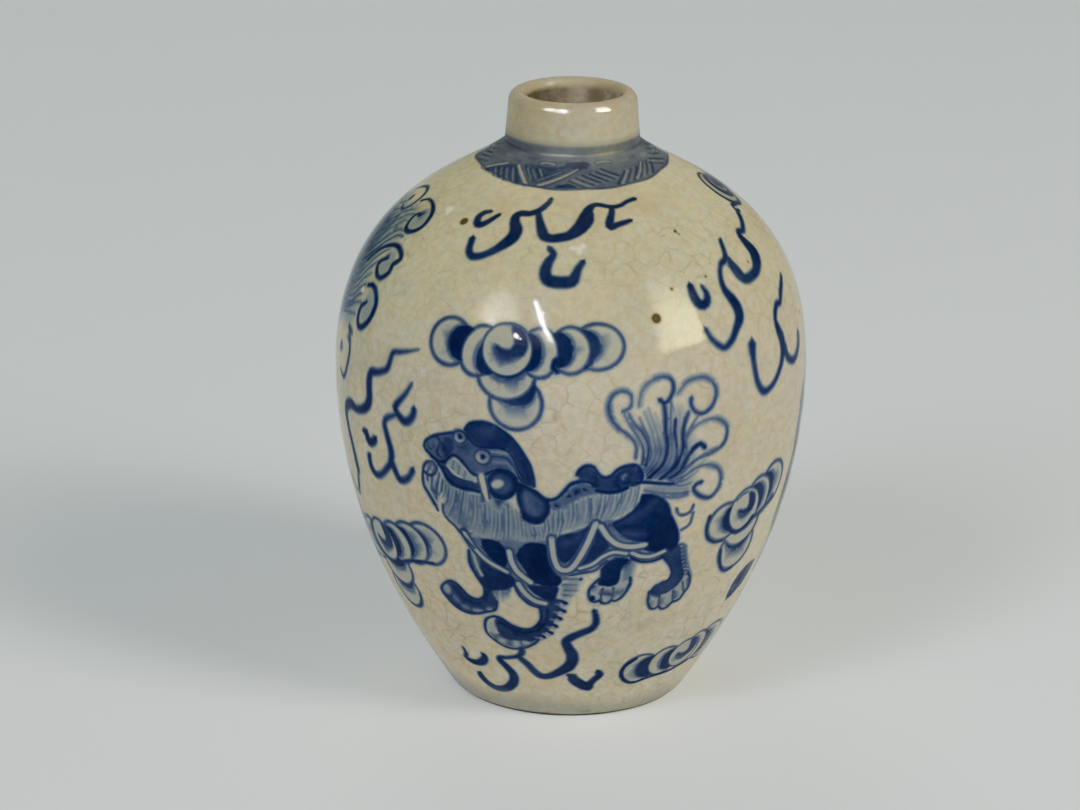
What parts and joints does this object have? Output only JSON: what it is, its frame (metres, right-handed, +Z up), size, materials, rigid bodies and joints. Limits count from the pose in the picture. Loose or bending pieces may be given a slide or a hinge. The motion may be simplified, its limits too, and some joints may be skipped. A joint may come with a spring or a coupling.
{
  "type": "miniature vase",
  "caption": "Small ovoid vase with a short straight neck, rolled lip, high rounded shoulder and narrow foot ring, in crackled glaze with blue painting.",
  "frame": {"origin": "centre of the circle that the foot ring stands on", "axes": "+Z up the vase's axis, from the foot to the mouth; -Y faces the front, with the painted lion"},
  "size_m": [0.0536, 0.0536, 0.07],
  "materials": {
    "glaze": "glossy cream crackle glaze with underglaze cobalt-blue painting, foot ring unglazed"
  },
  "bodies": {
    "root": {"vase": "glaze"}
  },
  "joints": []
}
